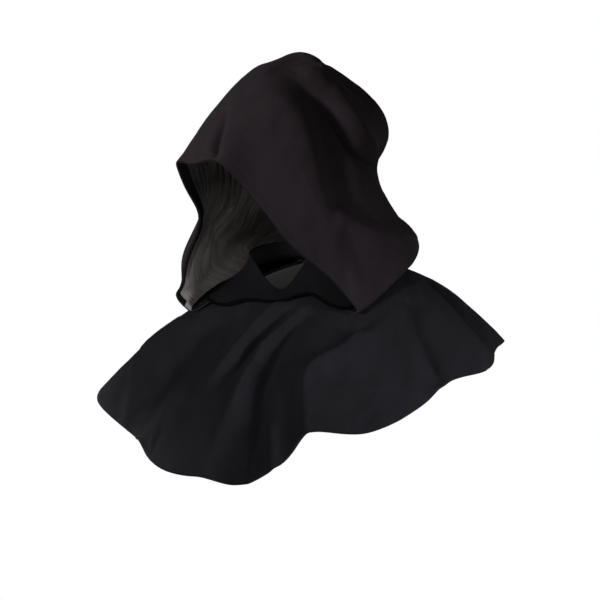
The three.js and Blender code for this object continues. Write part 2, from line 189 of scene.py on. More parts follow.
# Creases of the hood beyond its main form: the path over the cloth in (u, v), width and height in
# metres. A valley has a height below 0, and each one fades out at both ends.
HOOD_CREASES = (
    (((-0.03, 0.17), (0.031, 0.135), (0.084, 0.1), (0.165, 0.025)), 0.006, -0.0105),
    (((0.0, 0.3), (0.06, 0.22), (0.13, 0.17), (0.22, 0.13)), 0.03, 0.004),
    (((0.148, -0.01), (0.172, 0.11)), 0.005, 0.0012),
    (((0.2, 0.07), (0.27, 0.2), (0.302, 0.291), (0.31, 0.428), (0.312, 0.486), (0.27, 0.6)),
     0.028, 0.0085),
    (((0.31, 0.06), (0.36, 0.2), (0.385, 0.33), (0.385, 0.42), (0.365, 0.53)), 0.026, -0.0155),
    (((0.37, 0.22), (0.43, 0.3), (0.46, 0.345), (0.506, 0.384), (0.62, 0.415)), 0.0085, -0.0165),
    (((0.42, 0.2), (0.5, 0.3), (0.58, 0.36), (0.64, 0.38)), 0.014, 0.007),
    (((0.29, 0.53), (0.392, 0.585), (0.519, 0.625), (0.7, 0.66)), 0.013, 0.0125),
    (((0.31, 0.48), (0.447, 0.548), (0.576, 0.585), (0.72, 0.6)), 0.016, -0.0115),
    (((0.28, 0.56), (0.24, 0.64), (0.142, 0.78)), 0.012, -0.004),
    (((0.31, 0.03), (0.35, 0.07), (0.36, 0.14)), 0.009, -0.003),
    (((0.35, 0.05), (0.39, 0.09), (0.44, 0.085), (0.47, 0.05)), 0.0055, -0.0035),
    (((0.37, 0.05), (0.41, 0.11), (0.43, 0.18)), 0.008, -0.003),
    (((0.42, 0.125), (0.465, 0.15), (0.505, 0.178), (0.55, 0.19)), 0.016, -0.0085),
    (((0.53, 0.187), (0.565, 0.192), (0.6, 0.196), (0.65, 0.215)), 0.012, 0.0065),
    (((0.33, 0.03), (0.365, 0.025), (0.4, 0.035), (0.42, 0.11)), 0.01, 0.0038),
    (((0.0, 0.81), (0.05, 0.745), (0.13, 0.69)), 0.0055, -0.004),
    (((0.0, 0.765), (0.035, 0.72), (0.09, 0.7)), 0.0045, -0.0025),
)

# Creases of the side and back that the picture hides, drawn as plainly as such cloth falls.
HIDDEN_CREASES = (
    (((0.24, -0.1), (0.32, -0.3), (0.33, -0.45), (0.29, -0.56)), 0.022, 0.004),
    (((0.34, -0.14), (0.39, -0.3), (0.4, -0.44), (0.37, -0.54)), 0.02, -0.005),
    (((0.43, -0.22), (0.49, -0.32), (0.57, -0.39), (0.66, -0.42)), 0.012, -0.007),
    (((0.3, -0.5), (0.42, -0.58), (0.56, -0.62), (0.72, -0.64)), 0.014, 0.006),
    (((0.34, -0.46), (0.46, -0.53), (0.6, -0.57), (0.72, -0.58)), 0.014, -0.005),
    (((0.64, -0.5), (0.74, -0.22), (0.76, 0.02), (0.73, 0.26), (0.65, 0.5)), 0.016, -0.006),
    (((0.7, -0.56), (0.8, -0.25), (0.815, 0.05), (0.79, 0.3), (0.71, 0.56)), 0.014, 0.006),
    (((0.78, -0.5), (0.86, -0.2), (0.875, -0.02), (0.85, 0.24), (0.78, 0.46)), 0.012, -0.005),
    (((0.56, -0.14), (0.64, -0.02), (0.7, 0.12)), 0.016, -0.004),
)

# Creases of the cape in (s, angle).
CAPE_CREASES = (
    (((0.02, 14), (0.043, 7.3), (0.16, -6), (0.32, -14.5), (0.46, -19), (0.62, -22)), 0.0088, 0.0095),
    (((0.06, 30), (0.15, 10), (0.24, -1), (0.34, -7.5), (0.45, -10), (0.6, -14.5)), 0.0066, -0.0095),
    (((0.08, 44), (0.2, 17.3), (0.29, 5), (0.365, 1.2), (0.45, -0.7), (0.54, -1.5), (0.66, -3)),
     0.0085, 0.0115),
    (((0.42, -3), (0.55, -3.5), (0.7, -4), (0.85, -5), (1.1, -8)), 0.022, 0.011),
    (((0.74, 15), (0.86, 18), (1.1, 20)), 0.007, 0.004),
    (((0.12, -40), (0.4, -43), (0.7, -41), (1.0, -36)), 0.024, -0.0125),
    (((0.25, -62), (0.5, -59), (0.66, -57), (0.85, -48.5), (1.0, -43)), 0.012, 0.0125),
    (((0.83, -34), (0.92, -31), (1.0, -28)), 0.004, 0.0028),
    (((0.86, -30), (0.93, -28.5), (1.0, -26.5)), 0.003, -0.002),
    (((0.35, 82), (0.5, 79), (0.62, 72), (0.9, 67), (1.0, 66)), 0.0095, -0.01),
    (((0.4, 92), (0.6, 85), (1.0, 79)), 0.018, 0.006),
    (((0.45, 106), (0.6, 100), (0.8, 93.5), (1.0, 88)), 0.0085, -0.009),
    (((0.2, -92), (0.5, -90), (0.8, -89), (1.0, -88)), 0.02, -0.008),
    (((0.3, -112), (0.6, -108), (1.0, -104)), 0.022, 0.009),
    (((0.3, -136), (0.6, -131), (1.0, -127)), 0.02, -0.01),
    (((0.25, -158), (0.6, -154), (1.0, -150)), 0.02, 0.009),
    (((0.25, 176), (0.6, 174), (1.0, 171)), 0.02, -0.009),
    (((0.3, 126), (0.6, 128), (1.0, 129)), 0.02, -0.009),
    (((0.25, 148), (0.6, 150), (1.0, 151)), 0.02, 0.009),
)

# The sharper edges of two folds of the cape that lie over each other, as the creases are given.
CAPE_PLEATS = (
    (((0.1, 52), (0.2, 27), (0.3, 13), (0.4, 8), (0.5, 6.5), (0.62, 7.5), (0.76, 10), (1.02, 11)),
     0.016, -0.0165),
    (((0.3, 74), (0.43, 58), (0.5, 48), (0.53, 42), (0.58, 35.5), (0.65, 31.5), (0.77, 30),
      (1.25, 30)), 0.026, 0.019),
)

# How far from the neck's axis the hood lies on the cape: angle and reach in metres.
HOOD_ON_CAPE = np.array((
    (-180, 0.14), (-120, 0.165), (-58, 0.168), (-36, 0.098), (-18, 0.075), (0, 0.068), (18, 0.075),
    (36, 0.098), (58, 0.168), (120, 0.165), (180, 0.14),
))

# Shares of the way around from the hood's top seam: where its pale inside face ends, at the fold,
# and where the rim's hem ends
LINING_END = 0.85
HOOD_HEM_END = 0.83

# Mesh steps. Near an edge they shrink to the first share of their size, over the second share.
HOOD_ROWS = 168
HOOD_COLUMNS = 280
CAPE_ROWS = 100
CAPE_COLUMNS = 460
COLLAR_ROWS_UP = 26
COLLAR_COLUMNS = 320
EDGE_SIDES = 12
RIM_STEPS = (0.35, 0.1)
SEAM_STEPS = (0.3, 0.05)
CAPE_HEM_STEPS = (0.35, 0.12)

# Cloths: name, dark and light shade, the roughness's lowest and highest value, and the sheen
CLOTHS = (
    # The hood's outer cloth and the cape's are one cloth in two shades: the hood's lighter shade is
    # painted light and the cape's darker shade is painted shade.
    ("lit_outer_cloth", (0.0148, 0.0113, 0.0134), (0.025, 0.0193, 0.0226), (0.84, 0.98), 0.015),
    ("shaded_cape_cloth", (0.009, 0.0084, 0.0105), (0.0152, 0.0141, 0.0171), (0.84, 0.98), 0.008),
    # The collar's cloth is painted shade: darker than the other cloths, for the shade under the hood.
    ("shaded_collar_cloth", (0.0042, 0.0044, 0.0052), (0.007, 0.0073, 0.0086), (0.84, 0.98), 0.01),
    # The edge cloth is near black: a painted shadow, the contact shadow under the collar's lower edge.
    ("shadow_edge_cloth", (0.0008, 0.0008, 0.001), (0.0014, 0.0014, 0.0016), (0.87, 1.0), 0.0),
    # The hem cloth is painted darker than the cloth it is turned from, as painted shade along the
    # hems.
    ("hem_cloth", (0.0072, 0.0058, 0.0067), (0.0112, 0.009, 0.0104), (0.84, 0.98), 0.0),
)

# Linings: name, dark, middle and light shade
LININGS = (
    ("inner_cloth", (0.007, 0.0062, 0.0056), (0.105, 0.097, 0.092), (0.5, 0.465, 0.45)),
    ("cape_inner_cloth", (0.004, 0.0037, 0.0036), (0.008, 0.0075, 0.0074), (0.014, 0.0132, 0.013)),
)
LINING_ROUGHNESS = (0.85, 1.0)
# The linings turn paler downwards between these heights in metres. This paleness, which brings out
# their middle and light shades, is painted light where light falls on the inside's bottom.
LINING_PAINTED_LIGHT_HEIGHTS = (-0.15, -0.3)

# The weave: the pitch and depth of the threads, the share of the streaks, the depth of the lining's
# fibres, and the strength of both reliefs
THREAD_PITCH = 0.0009
WEAVE_DEPTH = 0.00022
NAP = 0.08
FIBRE_DEPTH = 0.0004
BUMP_STRENGTH = 0.6

# Noises of the cloth and of the lining: stretch and scale, then detail and roughness if unusual
SLUBS = ((1, 0.25, 1), 420)
MOTTLE = ((1, 0.6, 1), 26)
STREAKS = ((1, 0.07, 1), 330, 6.0, 0.65)
LINING_STREAKS = ((0.06, 1, 1), 170, 5.0, 0.65)
LINING_FIBRES = ((0.12, 1, 1), 800, 3.0, 0.6)
LINING_PATCHES = ((0.4, 1, 1), 24)

# The photograph's camera: degrees to the front's left, up and of roll, its distance and the width
# that it sees there, its film's width in millimetres, and how far right and down it aims
CAMERA_AZIMUTH = 35
CAMERA_ELEVATION = 7
CAMERA_ROLL = 8
CAMERA_DISTANCE = 2.2
CAMERA_FIELD = 0.84
CAMERA_FILM = 36
CAMERA_CLIP = (0.05, 60)
AIM_RIGHT = 0.014
AIM_DOWN = 0.330

# Lights: place and target in metres from the middle, each towards the camera, to its right and up,
# then size, power in watts, colour and spread in degrees
LIGHT_MIDDLE = (0, 0, -0.3)
WARM = (1, 0.97, 0.97)
COOL = (0.97, 0.97, 1)
LIGHTS = (
    ("key_light", (1.9, -2.3, 0.7), (0, 0, 0.24), 0.5, 1.62, WARM, 22),
    ("low_light", (1.3, 1.15, -0.12), (0, -0.07, -0.27), 0.3, 0.8, COOL, 25),
    ("inner_light", (2.3, -0.2, 0.1), (0, -0.14, 0.055), 0.05, 0.0058, WARM, 4),
    ("side_light", (-0.9, -1.7, 1.5), (0, -0.37, -0.23), 0.2, 0.42, WARM, 8),
)

# The world as a light and as it is seen, and the floor
WORLD_LIGHT = 0.17
WORLD_SEEN = 1.0
FLOOR_HALF_SIZE = 1.0
FLOOR_HEIGHT = -0.95
FLOOR_GLOW = 0.97


def hermite(keys, values, places):
    """Smooth values between rows: keys (n,), values (n, ...) and places (m,) give (m, ...)."""
    keys = np.asarray(keys, float)
    values = np.asarray(values, float)
    places = np.asarray(places, float)
    last = len(keys) - 1
    before = np.maximum(np.arange(last + 1) - 1, 0)
    after = np.minimum(np.arange(last + 1) + 1, last)
    tail = (1,) * (values.ndim - 1)
    slopes = (values[after] - values[before]) / (keys[after] - keys[before]).reshape(-1, *tail)
    i = np.clip(np.searchsorted(keys, places, side="left") - 1, 0, last - 1)
    step = (keys[i + 1] - keys[i]).reshape(-1, *tail)
    t = (places - keys[i]).reshape(-1, *tail) / step
    t2, t3 = t * t, t * t * t
    return (
        (2 * t3 - 3 * t2 + 1) * values[i]
        + (t3 - 2 * t2 + t) * step * slopes[i]
        + (3 * t2 - 2 * t3) * values[i + 1]
        + (t3 - t2) * step * slopes[i + 1]
    )


def from_table(table, column, places):
    places = np.asarray(places, float)
    return hermite(table[:, 0], table[:, column], places.ravel()).reshape(places.shape)


def smoothstep(x, low, high):
    t = np.clip((x - low) / (high - low), 0, 1)
    return t * t * (3 - 2 * t)


def blend(a, b, share):
    return a + (b - a) * share


def unit(vectors):
    return vectors / np.maximum(np.linalg.norm(vectors, axis=-1, keepdims=True), 1e-12)


def ridge(distance, height, width):
    """A soft ridge at distance 0, or a groove where the height is below 0."""
    return height * np.exp(-((distance / width) ** 2))


def smooth_noise(points, size, seed):
    """Noise from -1 to 1 with a random value every size metres."""
    place = points / size + seed * 17.31
    cell = np.floor(place).astype(np.int64)
    share = place - cell
    share = share * share * (3 - 2 * share)
    total = np.zeros(points.shape[:-1])
    for corner in itertools.product((0, 1), repeat=3):
        # Large numbers without a pattern scatter the values of neighbouring cells.
        c = cell + np.array(corner)
        mixed = (c[..., 0] * 73856093) ^ (c[..., 1] * 19349663) ^ (c[..., 2] * 83492791)
        mixed = (mixed ^ (seed * 40503)) & 0xFFFFFF
        mixed = ((mixed ^ (mixed >> 11)) * 668265263) & 0xFFFFFF
        value = ((mixed ^ (mixed >> 9)) & 0xFFFF) / 32767.5 - 1
        total += value * np.prod(np.where(corner, share, 1 - share), axis=-1)
    return total


# The shapes of the cloth's middle

def neck_radius(angle):
    a = np.radians(angle)
    return NECK_HALF_WIDTH * NECK_HALF_DEPTH / np.hypot(
        NECK_HALF_DEPTH * np.sin(a), NECK_HALF_WIDTH * np.cos(a))


def around_neck(angle, reach, height):
    a = np.radians(angle)
    return np.stack((reach * np.sin(a), NECK_BEHIND_SEAT - reach * np.cos(a), height), axis=-1)


def neck_height(angle):
    return -blend(THROAT_DROP, NAPE_DROP, (1 - np.cos(np.radians(angle))) / 2)


def cape_fold_height(angle):
    total = np.zeros_like(angle)
    for fold_angle, width, height in CAPE_FOLDS:
        away = np.abs((angle - fold_angle + 540) % 360 - 180)
        total += ridge(away, height * CAPE_WAVE, width)
    return total


def cape_height(angle, s):
    hem_height = -from_table(CAPE_HEM, 2, angle) * CAPE_DROP
    return blend(neck_height(angle), hem_height, s ** from_table(CAPE_HEM, 3, angle))


def cape_point(s, angle):
    s, angle = np.broadcast_arrays(np.asarray(s, float), np.asarray(angle, float))
    fold = cape_fold_height(angle) * smoothstep(s, FOLD_START, 1)
    reach = blend(neck_radius(angle), from_table(CAPE_HEM, 1, angle) * CAPE_REACH, s) + fold
    return around_neck(angle, reach, cape_height(angle, s))


def cape_height_at(angle, reach):
    neck = neck_radius(angle)
    hem_reach = from_table(CAPE_HEM, 1, angle) * CAPE_REACH
    return cape_height(angle, np.maximum(0, (reach - neck) / (hem_reach - neck)))


def hood_neck_edge(angle):
    angle = np.asarray(angle, float)
    return around_neck(angle, neck_radius(angle), neck_height(angle) + CLOTH_THICKNESS + PIECE_GAP)


def turned(points):
    low, high = (share * HOOD_DROP for share in TURN_HEIGHTS)
    angle = -HEAD_TURN * smoothstep(points[..., 2], low, high)
    cos, sin = np.cos(angle), np.sin(angle)
    x, y, z = points[..., 0], points[..., 1], points[..., 2]
    return np.stack((x * cos - y * sin, x * sin + y * cos, z), axis=-1)


def guide_places(us):
    """The five guide lines' places at each u: (len(us), 5, 3)."""
    lines = []
    for around, rows in HOOD_LINES.items():
        at = [row[0] for row in rows] + [1]
        places = [
            (out * HOOD_HALF_WIDTH, -forward * (HOOD_FRONT if forward > 0 else HOOD_BACK),
             height * HOOD_DROP)
            for _, forward, out, height in rows
        ]
        places.append(hood_neck_edge(180 - NAPE_ANGLE * around))
        lines.append(hermite(at, places, us))
    return np.stack(lines, axis=1)


def half_arch(us, side):
    arounds = list(HOOD_LINES)
    places = guide_places(us)
    lowest = places[:, -1]
    neck = hood_neck_edge(blend(HOOD_NECK_ANGLE, 180 - NAPE_ANGLE, us))
    floor = []
    for share in (1 / 3, 2 / 3):
        x = blend(lowest[:, 0], neck[:, 0], share)
        y = blend(lowest[:, 1], neck[:, 1], share)
        reach = np.hypot(x, y - NECK_BEHIND_SEAT)
        angle = np.degrees(np.arctan2(x, NECK_BEHIND_SEAT - y))
        height = cape_height_at(side * angle, reach) + HOOD_FLOOR_LIFT
        floor.append(around_neck(angle, reach, height))
        arounds.append(blend(list(HOOD_LINES)[-1], 1, share))
    places = np.concatenate((places, np.stack(floor + [neck], axis=1)), axis=1)
    places = places * np.array((side, 1, 1))
    return np.array(arounds + [1]) * side, places


def hood_grid(us, vs):
    """The hood's cloth at each u from rim to nape and v from the right neck edge to the left."""
    right_keys, right = half_arch(us, -1)
    left_keys, left = half_arch(us, 1)
    keys = np.concatenate((right_keys[::-1], left_keys[1:]))
    arch = np.concatenate((right[:, ::-1], left[:, 1:]), axis=1)
    points = hermite(keys, arch.transpose(1, 0, 2), vs).transpose(1, 0, 2)
    for at, around, along, across, forward, out, height in HOOD_DENTS:
        share = np.exp(-(((us[:, None] - at) / along) ** 2) - ((vs[None] - around) / across) ** 2)
        move = (out * HOOD_HALF_WIDTH * np.sign(around), -forward * HOOD_FRONT, height * HOOD_DROP)
        points = points + share[..., None] * np.array(move)
    return turned(points)


def hood_at(us, vs):
    """The hood's cloth at pairs of u and v."""
    return hood_grid(us, vs)[np.arange(len(us)), np.arange(len(us))]


def collar_point(t, angle):
    t, angle = np.broadcast_arrays(np.asarray(t, float), np.asarray(angle, float))
    rise, flap, lift = (from_table(COLLAR_ROWS, column, angle) for column in (1, 2, 3))
    reach = neck_radius(angle) + flap * COLLAR_FLAP * (1 - t) ** COLLAR_FLARE
    height = cape_height_at(angle, reach) + lift * COLLAR_LIFT + rise * COLLAR_RISE * t ** COLLAR_STAND
    return around_neck(angle, reach, height)


# Relief on top of those shapes

def grid_normals(points, looped):
    along_u = np.gradient(points, axis=0)
    if looped:
        along_v = np.roll(points, -1, axis=1) - np.roll(points, 1, axis=1)
    else:
        along_v = np.gradient(points, axis=1)
    return unit(np.cross(along_v, along_u))


def crease_relief(points, coordinates, creases, surface_at, reach, roundness=CREASE_ROUNDNESS):
    """How far each point of a grid moves along its normal for a list of creases."""
    relief = np.zeros(points.shape[:-1])
    shares = np.linspace(0, 1, CREASE_STEPS + 1)
    for path, width, height in creases:
        way = hermite(np.linspace(0, 1, len(path)), path, shares)
        spots = surface_at(way[:, 0], way[:, 1])
        nearest = np.full(relief.shape, np.inf)
        place = np.zeros(relief.shape)
        for k in range(CREASE_STEPS):
            start, step = spots[k], spots[k + 1] - spots[k]
            share = np.clip(((points - start) @ step) / (step @ step), 0, 1)
            away = np.linalg.norm(points - start - share[..., None] * step, axis=-1)
            closer = away < nearest
            nearest = np.where(closer, away, nearest)
            place = np.where(closer, shares[k] + share / CREASE_STEPS, place)
        fade = np.clip(4 * place * (1 - place), 0, 1) ** CREASE_FADE
        reached = hermite(shares, way, place.ravel()).reshape(*place.shape, 2)
        apart = np.abs(coordinates - reached) / np.array(reach)
        same_layer = np.clip(2 - 2 * apart.max(axis=-1), 0, 1)
        relief += height * fade * same_layer * np.exp(-np.abs(nearest / width) ** roundness)
    return relief


def cloth_relief(points, seed):
    """The small unevenness of hanging cloth: long soft swells with a finer crumple on them."""
    return sum(
        height * smooth_noise(points * np.array((1, 1, drawn)), size, seed + k)
        for k, (height, size, drawn) in enumerate(SWELLS))


# Meshes

def arc_lengths(points, axis, looped=False):
    if looped:
        points = np.concatenate((points, points[:, :1]), axis=1)
    steps = np.linalg.norm(np.diff(points, axis=axis), axis=-1)
    lengths = np.cumsum(steps, axis=axis)
    start = np.zeros_like(np.take(lengths, [0], axis=axis))
    return np.concatenate((start, lengths), axis=axis)


def add_object(name, data):
    made = bpy.data.objects.new(name, data)
    bpy.context.collection.objects.link(made)
    return made


def wall(name, points, normals, thickness, looped, outer, inner, tucked=None, lined=None):
    """A closed cloth wall round a grid of middle points, with rounded edges and metric UVs.

    Lined says of each column whether its inside shows the inner material, or else the tucked one."""
    rows, columns = points.shape[:2]
    half = normals * thickness / 2
    bulge = thickness * EDGE_BULGE

    def lip(edge, inward):
        return edge + unit(edge - inward) * bulge

    sheets = [points + half, points - half]
    borders = {"first": lip(points[0], points[1]), "last": lip(points[-1], points[-2])}
    if not looped:
        borders["left"] = lip(points[:, 0], points[:, 1])
        borders["right"] = lip(points[:, -1], points[:, -2])
    vertices = np.concatenate([sheet.reshape(-1, 3) for sheet in sheets] + list(borders.values()))
    grid = np.arange(rows * columns).reshape(rows, columns)
    under = grid + rows * columns
    starts, at = {}, 2 * rows * columns
    for key, border in borders.items():
        starts[key] = np.arange(len(border)) + at
        at += len(border)

    def closed(line):
        return np.append(line, line[:1]) if looped else line

    def strips(a, b):
        return np.stack((a[:-1], a[1:], b[1:], b[:-1]), axis=-1).reshape(-1, 4)

    top = np.concatenate([strips(closed(grid[i]), closed(grid[i + 1])) for i in range(rows - 1)])
    bottom = np.concatenate([
        strips(closed(under[i + 1]), closed(under[i])) for i in range(rows - 1)])
    edges = [
        strips(closed(starts["first"]), closed(grid[0])),
        strips(closed(under[0]), closed(starts["first"])),
        strips(closed(grid[-1]), closed(starts["last"])),
        strips(closed(starts["last"]), closed(under[-1])),
    ]
    if not looped:
        edges += [
            strips(grid[:, 0], starts["left"]), strips(starts["left"], under[:, 0]),
            strips(starts["right"], grid[:, -1]), strips(under[:, -1], starts["right"]),
        ]
        corners = (
            (grid[0, 0], starts["first"][0], under[0, 0], starts["left"][0]),
            (grid[0, -1], starts["right"][0], under[0, -1], starts["first"][-1]),
            (grid[-1, 0], starts["left"][-1], under[-1, 0], starts["last"][0]),
            (grid[-1, -1], starts["last"][-1], under[-1, -1], starts["right"][-1]),
        )
        edges.append(np.array(corners))
    faces = np.concatenate([top, bottom] + edges)
    mesh = bpy.data.meshes.new(name)
    mesh.from_pydata(vertices.tolist(), [], faces.tolist())
    for material in (outer, inner, tucked or outer):
        mesh.materials.append(material)
    kinds = np.zeros(len(faces), np.int32)
    kinds[len(top):2 * len(top)] = 1 if lined is None else np.tile(2 - lined[:-1], rows - 1)
    mesh.polygons.foreach_set("material_index", kinds)
    borders = [grid[0], grid[-1]] + ([] if looped else [grid[:, 0], grid[:, -1]])
    spots = np.concatenate([grid.ravel(), grid.ravel()] + borders)
    write_uvs(mesh, points, looped, spots)
    mesh.shade_smooth()
    return add_object(name, mesh)


def write_uvs(mesh, points, looped, spots):
    """UVs in metres of cloth, down each column and along each row from its middle.

    Spots says which grid point each vertex belongs to."""
    columns = points.shape[1]
    down = arc_lengths(points, 0)
    across = arc_lengths(points, 1, looped)
    across = across - across[:, across.shape[1] // 2][:, None]
    corner = np.zeros(len(mesh.loops), np.int64)
    mesh.loops.foreach_get("vertex_index", corner)
    i, j = spots[corner] // columns, spots[corner] % columns
    if looped:
        faces = j.reshape(-1, 4)
        wraps = (faces.max(axis=1) - faces.min(axis=1) > columns // 2)[:, None]
        j_wide = np.where(wraps & (faces == 0), columns, faces).ravel()
    else:
        j_wide = j
    uvs = np.stack((across[i, j_wide], down[i, j]), axis=-1)
    layer = mesh.uv_layers.new(name="cloth")
    layer.data.foreach_set("uv", uvs.astype(np.float32).ravel())


def denser_at_start(count, finest, over):
    """Places from 0 to 1 that lie closer together near 0."""
    even = np.linspace(0, 1, count)
    weight = finest + (1 - finest) * np.clip(even / over, 0, 1)
    steps = (weight[1:] + weight[:-1]) / 2
    shares = np.concatenate(([0], np.cumsum(steps)))
    return shares / shares[-1]


hood_us = denser_at_start(HOOD_ROWS, *RIM_STEPS)
half_vs = denser_at_start(HOOD_COLUMNS // 2 + 1, *SEAM_STEPS)
hood_vs = np.concatenate((-half_vs[:0:-1], half_vs))
cape_ss = 1 - denser_at_start(CAPE_ROWS, *CAPE_HEM_STEPS)[::-1]
cape_angles = np.linspace(-180, 180, CAPE_COLUMNS, endpoint=False)


# Materials

def set_sockets(tree, made, sockets):
    """Each socket gets its value, or a link where the value is another node's output."""
    for key, value in sockets.items():
        if isinstance(value, bpy.types.NodeSocket):
            tree.links.new(value, made.inputs[key])
        else:
            made.inputs[key].default_value = value


def node(tree, kind, sockets=None):
    made = tree.nodes.new(kind)
    set_sockets(tree, made, sockets or {})
    return made


def shade_range(tree, source, low, high, from_low=0.0, from_high=1.0):
    return node(tree, "ShaderNodeMapRange", {
        "Value": source, "From Min": from_low, "From Max": from_high, "To Min": low, "To Max": high,
    }).outputs["Result"]


def stretched_noise(tree, place, stretch, scale, detail=4.0, roughness=0.55):
    mapping = node(tree, "ShaderNodeMapping", {"Vector": place, "Scale": stretch})
    return node(tree, "ShaderNodeTexNoise", {
        "Vector": mapping.outputs["Vector"], "Scale": scale, "Detail": detail, "Roughness": roughness,
    }).outputs["Fac"]


def threads(tree, uv, direction):
    """Threads side by side. A wave texture repeats 20 times in 2 pi units at a scale of 1."""
    wave = node(tree, "ShaderNodeTexWave", {
        "Vector": uv, "Scale": 2 * math.pi / (20 * THREAD_PITCH), "Distortion": 0.6,
        "Detail Scale": 2.0,
    })
    wave.wave_type = "BANDS"
    wave.bands_direction = direction
    return wave.outputs["Fac"]


def math_node(tree, operation, a, b):
    made = node(tree, "ShaderNodeMath", {0: a, 1: b})
    made.operation = operation
    return made.outputs["Value"]


def weighted_sum(tree, *terms):
    """The sum of outputs, each given with its share."""
    first, *others = [math_node(tree, "MULTIPLY", source, share) for source, share in terms]
    for other in others:
        first = math_node(tree, "ADD", first, other)
    return first


def colour_ramp(tree, tone, *stops):
    """The colour for a tone, between stops that are each given as a position and a colour."""
    made = node(tree, "ShaderNodeValToRGB", {"Fac": tone})
    elements = made.color_ramp.elements
    elements[0].position, elements[1].position = stops[0][0], stops[-1][0]
    for stop in stops[1:-1]:
        elements.new(stop[0])
    for element, stop in zip(elements, stops):
        element.color = (*stop[1], 1)
    return made.outputs["Color"]


def bumped(tree, height, depth):
    """The normal of a surface whose relief is as deep as depth, in metres."""
    return node(tree, "ShaderNodeBump", {
        "Strength": BUMP_STRENGTH, "Distance": depth, "Height": height,
    }).outputs["Normal"]


def new_material(name):
    made = bpy.data.materials.new(name)
    made.use_nodes = True
    return made, made.node_tree, made.node_tree.nodes["Principled BSDF"]


def cloth_material(name, dark, light, roughness, sheen):
    """Woven cloth: crossing threads, slubs and soft mottling, with a share of streaks."""
    made, tree, shader = new_material(name)
    uv = node(tree, "ShaderNodeTexCoord").outputs["UV"]
    weave = math_node(tree, "MULTIPLY", threads(tree, uv, "X"), threads(tree, uv, "Y"))
    slubs, mottle, streaks = (
        stretched_noise(tree, uv, *noise) for noise in (SLUBS, MOTTLE, STREAKS))
    tone = weighted_sum(tree, (mottle, 0.6), (slubs, 0.4))
    tone = weighted_sum(tree, (tone, 1 - NAP), (streaks, NAP))
    height = weighted_sum(tree, (weave, 0.5), (slubs, 0.5), (streaks, 2 * NAP))
    set_sockets(tree, shader, {
        "Base Color": colour_ramp(tree, tone, (0.32, dark), (0.68, light)),
        "Roughness": shade_range(tree, slubs, *roughness, 0.3, 0.7),
        "Sheen Weight": sheen,
        "Sheen Roughness": 0.45,
        "Sheen Tint": (0.9, 0.82, 0.86, 1),
        "Specular IOR Level": 0.06,
        "Normal": bumped(tree, height, WEAVE_DEPTH),
    })
    return made


def lining_material(name, dark, middle, light):
    """The brushed inside: pale streaks down both sides from the top seam, and paler low down, which is
    painted light.
    """
    made, tree, shader = new_material(name)
    coordinates = node(tree, "ShaderNodeTexCoord").outputs
    streaks, fibres, patches = (
        stretched_noise(tree, coordinates["UV"], *noise)
        for noise in (LINING_STREAKS, LINING_FIBRES, LINING_PATCHES))
    # Painted light: the lining turns paler the lower it lies.
    split = node(tree, "ShaderNodeSeparateXYZ", {"Vector": coordinates["Object"]})
    low = shade_range(tree, split.outputs["Z"], 0, 1, *LINING_PAINTED_LIGHT_HEIGHTS)
    tone = weighted_sum(tree, (streaks, 0.55), (fibres, 0.2), (patches, 0.25))
    tone = shade_range(tree, tone, 0, 1, 0.36, 0.64)
    tone = weighted_sum(tree, (tone, 0.4), (low, 0.6))
    set_sockets(tree, shader, {
        "Base Color": colour_ramp(tree, tone, (0.12, dark), (0.42, middle), (0.9, light)),
        "Roughness": shade_range(tree, fibres, *LINING_ROUGHNESS),
        "Specular IOR Level": 0.15,
        "Sheen Weight": 0.06,
        "Normal": bumped(tree, math_node(tree, "ADD", streaks, fibres), FIBRE_DEPTH),
    })
    return made


lit_outer_cloth, shaded_cape_cloth, shaded_collar_cloth, shadow_edge_cloth, hem_cloth = (
    cloth_material(*row) for row in CLOTHS)
inner_cloth, cape_inner_cloth = (lining_material(*row) for row in LININGS)


# Pieces

def hood_piece():
    points = hood_grid(hood_us, hood_vs)
    normals = grid_normals(points, False)
    coordinates = np.stack(np.broadcast_arrays(hood_us[:, None], hood_vs[None]), axis=-1)
    relief = crease_relief(
        points, coordinates, HOOD_CREASES + HIDDEN_CREASES, hood_at, HOOD_CREASE_REACH)
    relief += cloth_relief(points, HOOD_SEED)
    edge = arc_lengths(points, 0)
    steady = smoothstep(edge, 0, CALM_RIM) * smoothstep(edge.max(axis=0) - edge, 0, CALM_NAPE)
    tucked = 1 - smoothstep(np.abs(hood_vs), *TUCKED_UNDER)
    relief *= (CALM_SHARE + (1 - CALM_SHARE) * steady) * tucked[None]
    seam = arc_lengths(points, 1)
    seam = np.abs(seam - seam[:, [len(hood_vs) // 2]])
    relief += ridge(seam, *SEAM_GROOVE) + ridge(seam, *SEAM_SWELL)
    relief += ridge(edge - (HOOD_HEM_WIDTH - HOOD_STITCH_INSET), *STITCH_GROOVE)
    points = points + normals * relief[..., None]
    normals = grid_normals(points, False)
    # Past the fold the hood's inside takes the collar's dark cloth, which there is painted shade on
    # the hood's shaded floor.
    lined = (np.abs(hood_vs) < LINING_END).astype(int)
    piece = wall(
        "hood_cloth", points, normals, CLOTH_THICKNESS, False, lit_outer_cloth, inner_cloth,
        shaded_collar_cloth, lined)
    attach(piece, "root")
    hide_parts("hood_left", "hood_right")
    return piece, points, normals


